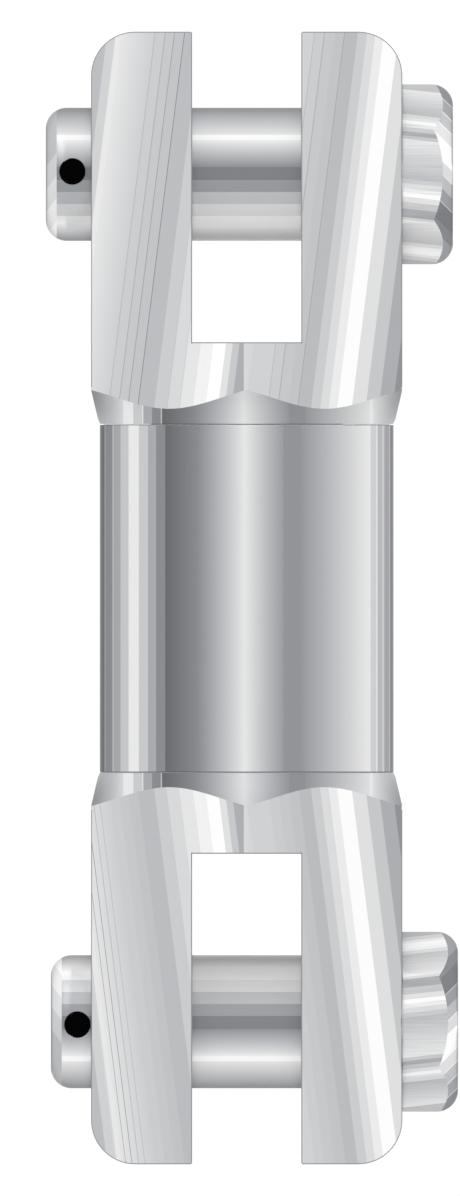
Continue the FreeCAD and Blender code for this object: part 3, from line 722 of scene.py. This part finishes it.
class SWIVEL_OT_clevis_pins(bpy.types.Operator):
    """Dress the clevis pins in turned bar with lengthwise streaks of painted reflection,
    mirrored between the two
    """

    bl_idname = "swivel.clevis_pins"
    bl_label = "Clevis pins"

    def execute(self, context):
        settings = context.scene.swivel_steel
        self.dress_pin("upper_clevis_pin", 1, settings)
        self.dress_pin("lower_clevis_pin", -1, settings)
        return {"FINISHED"}

    def dress_pin(self, node, up, settings):
        """Up is 1 for the upper pin, and -1 for the lower one, which is its mirror image."""
        shank_r = 15.875
        head_reach = 13.51       # from the end of the pin to just past the foot of its head
        tip_reach = 2.6          # length of the rounded tip
        lifted_side_beside = 5.0        # how far the lighter side runs past the slot's walls
        lifted_side_from = 0.265        # where it starts, as a share of the radius
        laid_out_at = 10.0       # how far in from the end the head's streaks are laid out
        head_lean = 0.11         # sideways run of the streaks for each unit along the head
        tip_lean = 1.37          # and along the tip
        crown = 2.4              # length of the head's rounded end
        corner_crown = 2.2       # what the corners add to it
        face_from = 0.985        # how far an end face faces along the pin
        rim_from = 0.94          # and the rim round it
        rim_shade = 0.25         # how much darker that rim is
        low, high = box_mm(node)
        axis_z = (low.z + high.z) / 2
        finish = metal(node + "_steel")
        place = finish.place()
        x, y, z = finish.split(place)
        facing_x = finish.facing()[0]
        down = (z - axis_z) * -up
        # Painted light: the side of the shank that the slot shades is made lighter, and not
        # metallic, to make up for that shade.
        lifted_shaded_side = (abs(x) < SLOT_HALF + lifted_side_beside) * (down > lifted_side_from * shank_r)
        shank = finish.streaks(down / shank_r, SHANK_RUNS) * (1 + lifted_shaded_side * settings.shaded_side_lift)

        # Place across the nearest flat of the head, from -1 at its upper edge to 1.
        sixth = math.radians(60)
        turn = finish.math("ARCTAN2", down, abs(y))
        within = turn - finish.math("ROUND", turn / sixth) * sixth
        bow = finish.math("TANGENT", within) / math.tan(sixth / 2)
        inward = high.x - x
        flats = finish.streaks(down + (inward - laid_out_at) * head_lean, HEAD_FLAT_RUNS)
        round_end = finish.streaks(down + inward, HEAD_ROUND_RUNS)
        tip_end = finish.streaks(down + (x - low.x) * tip_lean, TIP_ROUND_RUNS)

        on_round = inward < crown + bow * bow * corner_crown
        on_head = inward < head_reach
        on_tip = x < low.x + tip_reach
        on_face = abs(facing_x) > face_from
        on_rim = between(abs(facing_x), rim_from, face_from)
        head = choose(on_round, round_end, flats)
        # Painted light: the lower pin's shank is lighter, to make up for the shade of the floor
        # under it.
        lift = 1.0 if up > 0 else settings.lower_pin_lift
        tone = choose(on_head, head, choose(on_tip, tip_end, shank * lift))
        rings = finish.rings(y, down, x, pitch=0.45)
        faced = settings.milled_tone + around(rings, settings.milling)
        tone = choose(on_face, faced, tone * (1 - on_rim * rim_shade))
        on_flats = on_head * (1 - on_round)
        grain_tone = choose(on_flats, settings.head_grain_tone, settings.grain_tone)
        finish_steel(finish, settings, place, tone, PIN_SCRATCHES, on_face, lifted_shaded_side, grain_tone)
        finish.dress(node)


class SWIVEL_OT_keeper_pins(bpy.types.Operator):
    """Dress the keeper pins in black oxide and the lock screw in blackened steel"""

    bl_idname = "swivel.keeper_pins"
    bl_label = "Keeper pins"

    def execute(self, context):
        settings = context.scene.swivel_inner
        end_from = 0.5           # how far the end of a keeper pin faces along Y at least
        grain_reach = 0.03
        finish = Finish("black_oxide", {"Specular IOR Level": 0.02})
        grain = finish.grain(finish.place(), size=0.3)
        on_side = abs(finish.facing()[1]) < end_from
        # Painted shade: the ends are black oxide made near black, with almost no gloss, so that
        # they look as dark as a hole.
        oxide = settings.oxide_tone + grain * grain_reach
        finish.paint(oxide + on_side * settings.rubbed_tone)
        finish.roughen(ranging(grain, 0.55, 0.75))
        finish.ripple(grain, depth=0.005)
        finish.dress("upper_keeper_pin", "lower_keeper_pin")

        finish = metal("black_screw_steel")
        x, y, z = finish.split(finish.place())
        low, high = box_mm("lock_screw")
        axis_z = (low.z + high.z) / 2
        rings = finish.rings(x, z - axis_z, y, pitch=0.3)
        finish.paint(settings.screw_tone + around(rings, reach=0.1))
        finish.roughen(ranging(rings, 0.3, 0.5))
        finish.ripple(rings, depth=0.01)
        finish.dress("lock_screw")
        return {"FINISHED"}


class SWIVEL_OT_bearings(bpy.types.Operator):
    """Dress the thrust and radial bearings in ground steel, with brass cages"""

    bl_idname = "swivel.bearings"
    bl_label = "Bearings"

    def execute(self, context):
        settings = context.scene.swivel_inner
        self.dress_races("thrust", ("thrust_washer_fixed", "thrust_washer_turning"), settings)
        self.dress_races("radial", ("radial_outer_ring", "radial_inner_ring"), settings)
        self.dress_balls(settings)
        self.dress_cages(settings)
        return {"FINISHED"}

    def dress_races(self, kind, nodes, settings):
        """Ground rings, in which the balls have polished the bottom of each race."""
        track_margin = 0.3       # how far beside the balls the polish shows
        track_lift = 0.06        # how much lighter it is
        track_roughness = 0.08
        low, high = box_mm(kind + "_balls")
        ball_r = (high.z - low.z) / 2
        track_r, track_z = high.x - ball_r, (low.z + high.z) / 2
        finish = metal(kind + "_race_steel")
        place = finish.place()
        x, y, z = finish.split(place)
        from_ball = distance(distance(x, y) - track_r, z - track_z)
        on_track = from_ball < ball_r + track_margin
        rings = finish.turned(place, pitch=0.15)
        tone = settings.ground_tone + on_track * track_lift
        finish.paint(tone + around(rings, reach=0.08))
        finish.roughen(choose(on_track, track_roughness, ranging(rings, 0.22, 0.34)))
        finish.ripple(rings * (1 - on_track), depth=0.006)
        finish.dress(*nodes)

    def dress_balls(self, settings):
        """Polished balls with a thin smear of grease."""
        smear_lift = 0.08
        finish = metal("ball_steel")
        smear = finish.grain(finish.place(), size=2.0)
        finish.paint(settings.ground_tone + smear * smear_lift)
        finish.roughen(ranging(smear, 0.03, 0.09))
        finish.dress("thrust_balls", "radial_balls")

    def dress_cages(self, settings):
        """Machined brass with a little tarnish."""
        tone, rings_lift, tarnish_dip = 0.92, 0.06, 0.16
        finish = metal("cage_brass")
        place = finish.place()
        rings = finish.turned(place, pitch=0.3)
        tarnish = finish.grain(place, size=5.0)
        finish.paint(tone + rings * rings_lift - tarnish * tarnish_dip, settings.brass)
        finish.roughen(ranging(tarnish, 0.2, 0.45))
        finish.ripple(rings, depth=0.01)
        finish.dress("thrust_cage", "radial_cage")


class SWIVEL_OT_nut_and_clips(bpy.types.Operator):
    """Dress the nut and its spacer in turned steel, and the clips in spring steel"""

    bl_idname = "swivel.nut_and_clips"
    bl_label = "Nut and clips"

    def execute(self, context):
        settings = context.scene.swivel_inner
        finish = metal("turned_steel")
        rings = finish.turned(finish.place(), pitch=0.4)
        finish.paint(settings.turned_tone + around(rings, reach=0.14))
        finish.roughen(ranging(rings, 0.28, 0.44))
        finish.ripple(rings, depth=0.02)
        finish.dress("castle_nut", "nut_spacer")

        blued = (0.97, 0.98, 1.0)
        finish = metal("spring_steel")
        scale = finish.grain(finish.place(), size=1.2)
        finish.paint(settings.spring_tone + around(scale, reach=0.18), blued)
        finish.roughen(ranging(scale, 0.3, 0.5))
        finish.ripple(scale, depth=0.01)
        finish.dress("garter_spring", "tail_clip", "nut_cotter")
        return {"FINISHED"}


class SWIVEL_OT_bush_and_nipple(bpy.types.Operator):
    """Dress the flanged bush in bronze and the grease nipple in zinc"""

    bl_idname = "swivel.bush_and_nipple"
    bl_label = "Bush and nipple"

    def execute(self, context):
        settings = context.scene.swivel_inner
        self.dress_bush(settings)
        self.dress_nipple(settings)
        return {"FINISHED"}

    def dress_bush(self, settings):
        """Sintered bronze, whose open pores are darker and duller."""
        tone, rings_lift, pores_dip = 0.90, 0.08, 0.22
        pores_from, pores_roughness = 0.62, 0.3
        finish = metal("bush_bronze")
        place = finish.place()
        rings = finish.turned(place, pitch=0.25)
        pores = finish.grain(place, size=0.25, detail=1.0) > pores_from
        finish.paint(tone + rings * rings_lift - pores * pores_dip, settings.bronze)
        finish.roughen(ranging(rings, 0.3, 0.4) + pores * pores_roughness)
        finish.ripple(rings, depth=0.012)
        finish.dress("flanged_bush")

    def dress_nipple(self, settings):
        """Zinc plate with a warm bloom here and there."""
        base_tone = 0.86
        warm = (1.0, 0.97, 0.88, 1.0)
        finish = metal("zinc_plate")
        place = finish.place()
        bloom = finish.grain(place, size=3.0)
        tone = base_tone + around(finish.turned(place, pitch=0.3), reach=0.1)
        light = finish.blend(bloom, (*settings.zinc, 1.0), warm)
        colour = finish.blend(tone ** EYE, BLACK, light)
        finish.connect(colour, finish.shader.inputs["Base Color"])
        finish.roughen(ranging(bloom, 0.18, 0.38))
        finish.ripple(bloom, depth=0.01)
        finish.dress("grease_nipple")


class SWIVEL_OT_seals(bpy.types.Operator):
    """Dress the shaft seal in pale fluoroplastic and the joint ring in black rubber"""

    bl_idname = "swivel.seals"
    bl_label = "Seals"

    def execute(self, context):
        settings = context.scene.swivel_inner
        self.dress_seal("shaft_seal", "seal_plastic", settings.seal_tone)
        self.dress_seal("joint_ring", "ring_rubber", settings.rubber_tone)
        return {"FINISHED"}

    def dress_seal(self, node, name, base_tone):
        """Moulded skin with a little dust on it."""
        finish = Finish(name, {"Specular IOR Level": 0.3})
        place = finish.place()
        skin = finish.grain(place, size=0.3)
        dust = finish.grain(place, size=4.0)
        finish.paint(base_tone + around(skin, reach=0.05) + around(dust, reach=0.07))
        finish.roughen(ranging(dust, 0.5, 0.8))
        finish.ripple(skin, depth=0.02)
        finish.dress(node)


class SWIVEL_OT_stage(bpy.types.Operator):
    """Set up the pale floor, the even soft light and the camera"""

    bl_idname = "swivel.stage"
    bl_label = "Stage"

    def execute(self, context):
        settings = context.scene.swivel_studio
        self.lay_floor(context.scene, settings)
        self.hang_sky(context.scene, settings)
        self.hang_lamp(context.scene, settings)
        self.stand_camera(context.scene, settings)
        context.scene.view_settings.view_transform = "Standard"
        return {"FINISHED"}

    def lay_floor(self, scene, settings):
        """A pale floor that takes shadows. The steel sees it as white."""
        half = 1.5
        height = CAD_BOX[0][2]
        mesh = bpy.data.meshes.new("floor")
        ways = ((-1, -1), (1, -1), (1, 1), (-1, 1))
        corners = [(x * half, y * half, height) for x, y in ways]
        mesh.from_pydata(corners, [], [range(len(corners))])
        floor = bpy.data.objects.new("floor", mesh)
        scene.collection.objects.link(floor)
        finish = Finish("pale_floor", {"Roughness": 0.8, "Specular IOR Level": 0.2})
        grain = finish.grain(finish.place(), size=30.0)
        finish.paint(settings.floor_tone + around(grain, reach=0.02))
        glow = finish.add("ShaderNodeEmission", None, {"Color": WHITE})
        glossy = finish.add("ShaderNodeLightPath", None, None, "Is Glossy Ray")
        through = finish.add("ShaderNodeLightPath", None, None, "Is Transmission Ray")
        pale = Wire(finish, finish.shader.outputs[0])
        both = finish.add("ShaderNodeMixShader", None, {0: glossy + through, 1: pale, 2: glow})
        finish.connect(both, finish.tree.nodes["Material Output"].inputs["Surface"])
        mesh.materials.append(finish.material)

    def hang_sky(self, scene, settings):
        world = bpy.data.worlds.new("even_white_sky")
        world.use_nodes = True
        background = world.node_tree.nodes["Background"]
        background.inputs["Color"].default_value = WHITE
        background.inputs["Strength"].default_value = settings.sky
        scene.world = world

    def hang_lamp(self, scene, settings):
        """A large soft lamp at the upper left, before the swivel."""
        place, target = Vector((-0.9, -1.1, 1.2)), Vector((0.0, 0.0, 0.1))
        lamp = bpy.data.lights.new("soft_lamp", "AREA")
        lamp.energy = settings.lamp_power
        lamp.size = settings.lamp_size
        holder = bpy.data.objects.new("soft_lamp", lamp)
        holder.location = place
        holder.rotation_euler = (target - place).to_track_quat("-Z", "Y").to_euler()
        scene.collection.objects.link(holder)

    def stand_camera(self, scene, settings):
        """A camera square to the front, without perspective."""
        distance_away = 1.0
        lens = bpy.data.cameras.new("camera")
        lens.type = "ORTHO"
        lens.ortho_scale = settings.frame_height
        camera = bpy.data.objects.new("camera", lens)
        camera.location = (-settings.axis_offset, -distance_away, settings.middle_height)
        camera.rotation_euler = (math.radians(90), 0.0, 0.0)
        scene.collection.objects.link(camera)
        scene.camera = camera


STEPS = (SWIVEL_OT_housing, SWIVEL_OT_jaws, SWIVEL_OT_clevis_pins, SWIVEL_OT_keeper_pins,
         SWIVEL_OT_bearings, SWIVEL_OT_nut_and_clips, SWIVEL_OT_bush_and_nipple,
         SWIVEL_OT_seals, SWIVEL_OT_stage)
GROUPS = {
    "swivel_steel": SteelSettings,
    "swivel_inner": InnerSettings,
    "swivel_studio": StudioSettings,
}


class SWIVEL_PT_finishes(bpy.types.Panel):
    """Lists the steps and their settings"""

    bl_idname = "SWIVEL_PT_finishes"
    bl_label = "Swivel finishes"
    bl_space_type = "VIEW_3D"
    bl_region_type = "UI"
    bl_category = "Swivel"

    def draw(self, context):
        for step in STEPS:
            self.layout.operator(step.bl_idname)
        for name, group in GROUPS.items():
            box = self.layout.box()
            for setting in group.__annotations__:
                box.prop(getattr(context.scene, name), setting)


CLASSES = (*GROUPS.values(), *STEPS, SWIVEL_PT_finishes)


def register():
    for item in CLASSES:
        bpy.utils.register_class(item)
    for name, group in GROUPS.items():
        setattr(bpy.types.Scene, name, PointerProperty(type=group))


def unregister():
    for name in GROUPS:
        delattr(bpy.types.Scene, name)
    for item in reversed(CLASSES):
        bpy.utils.unregister_class(item)


def main():
    register()
    bpy.ops.swivel.housing()
    bpy.ops.swivel.jaws()
    bpy.ops.swivel.clevis_pins()
    bpy.ops.swivel.keeper_pins()
    bpy.ops.swivel.bearings()
    bpy.ops.swivel.nut_and_clips()
    bpy.ops.swivel.bush_and_nipple()
    bpy.ops.swivel.seals()
    bpy.ops.swivel.stage()


if __name__ == "__main__":
    main()
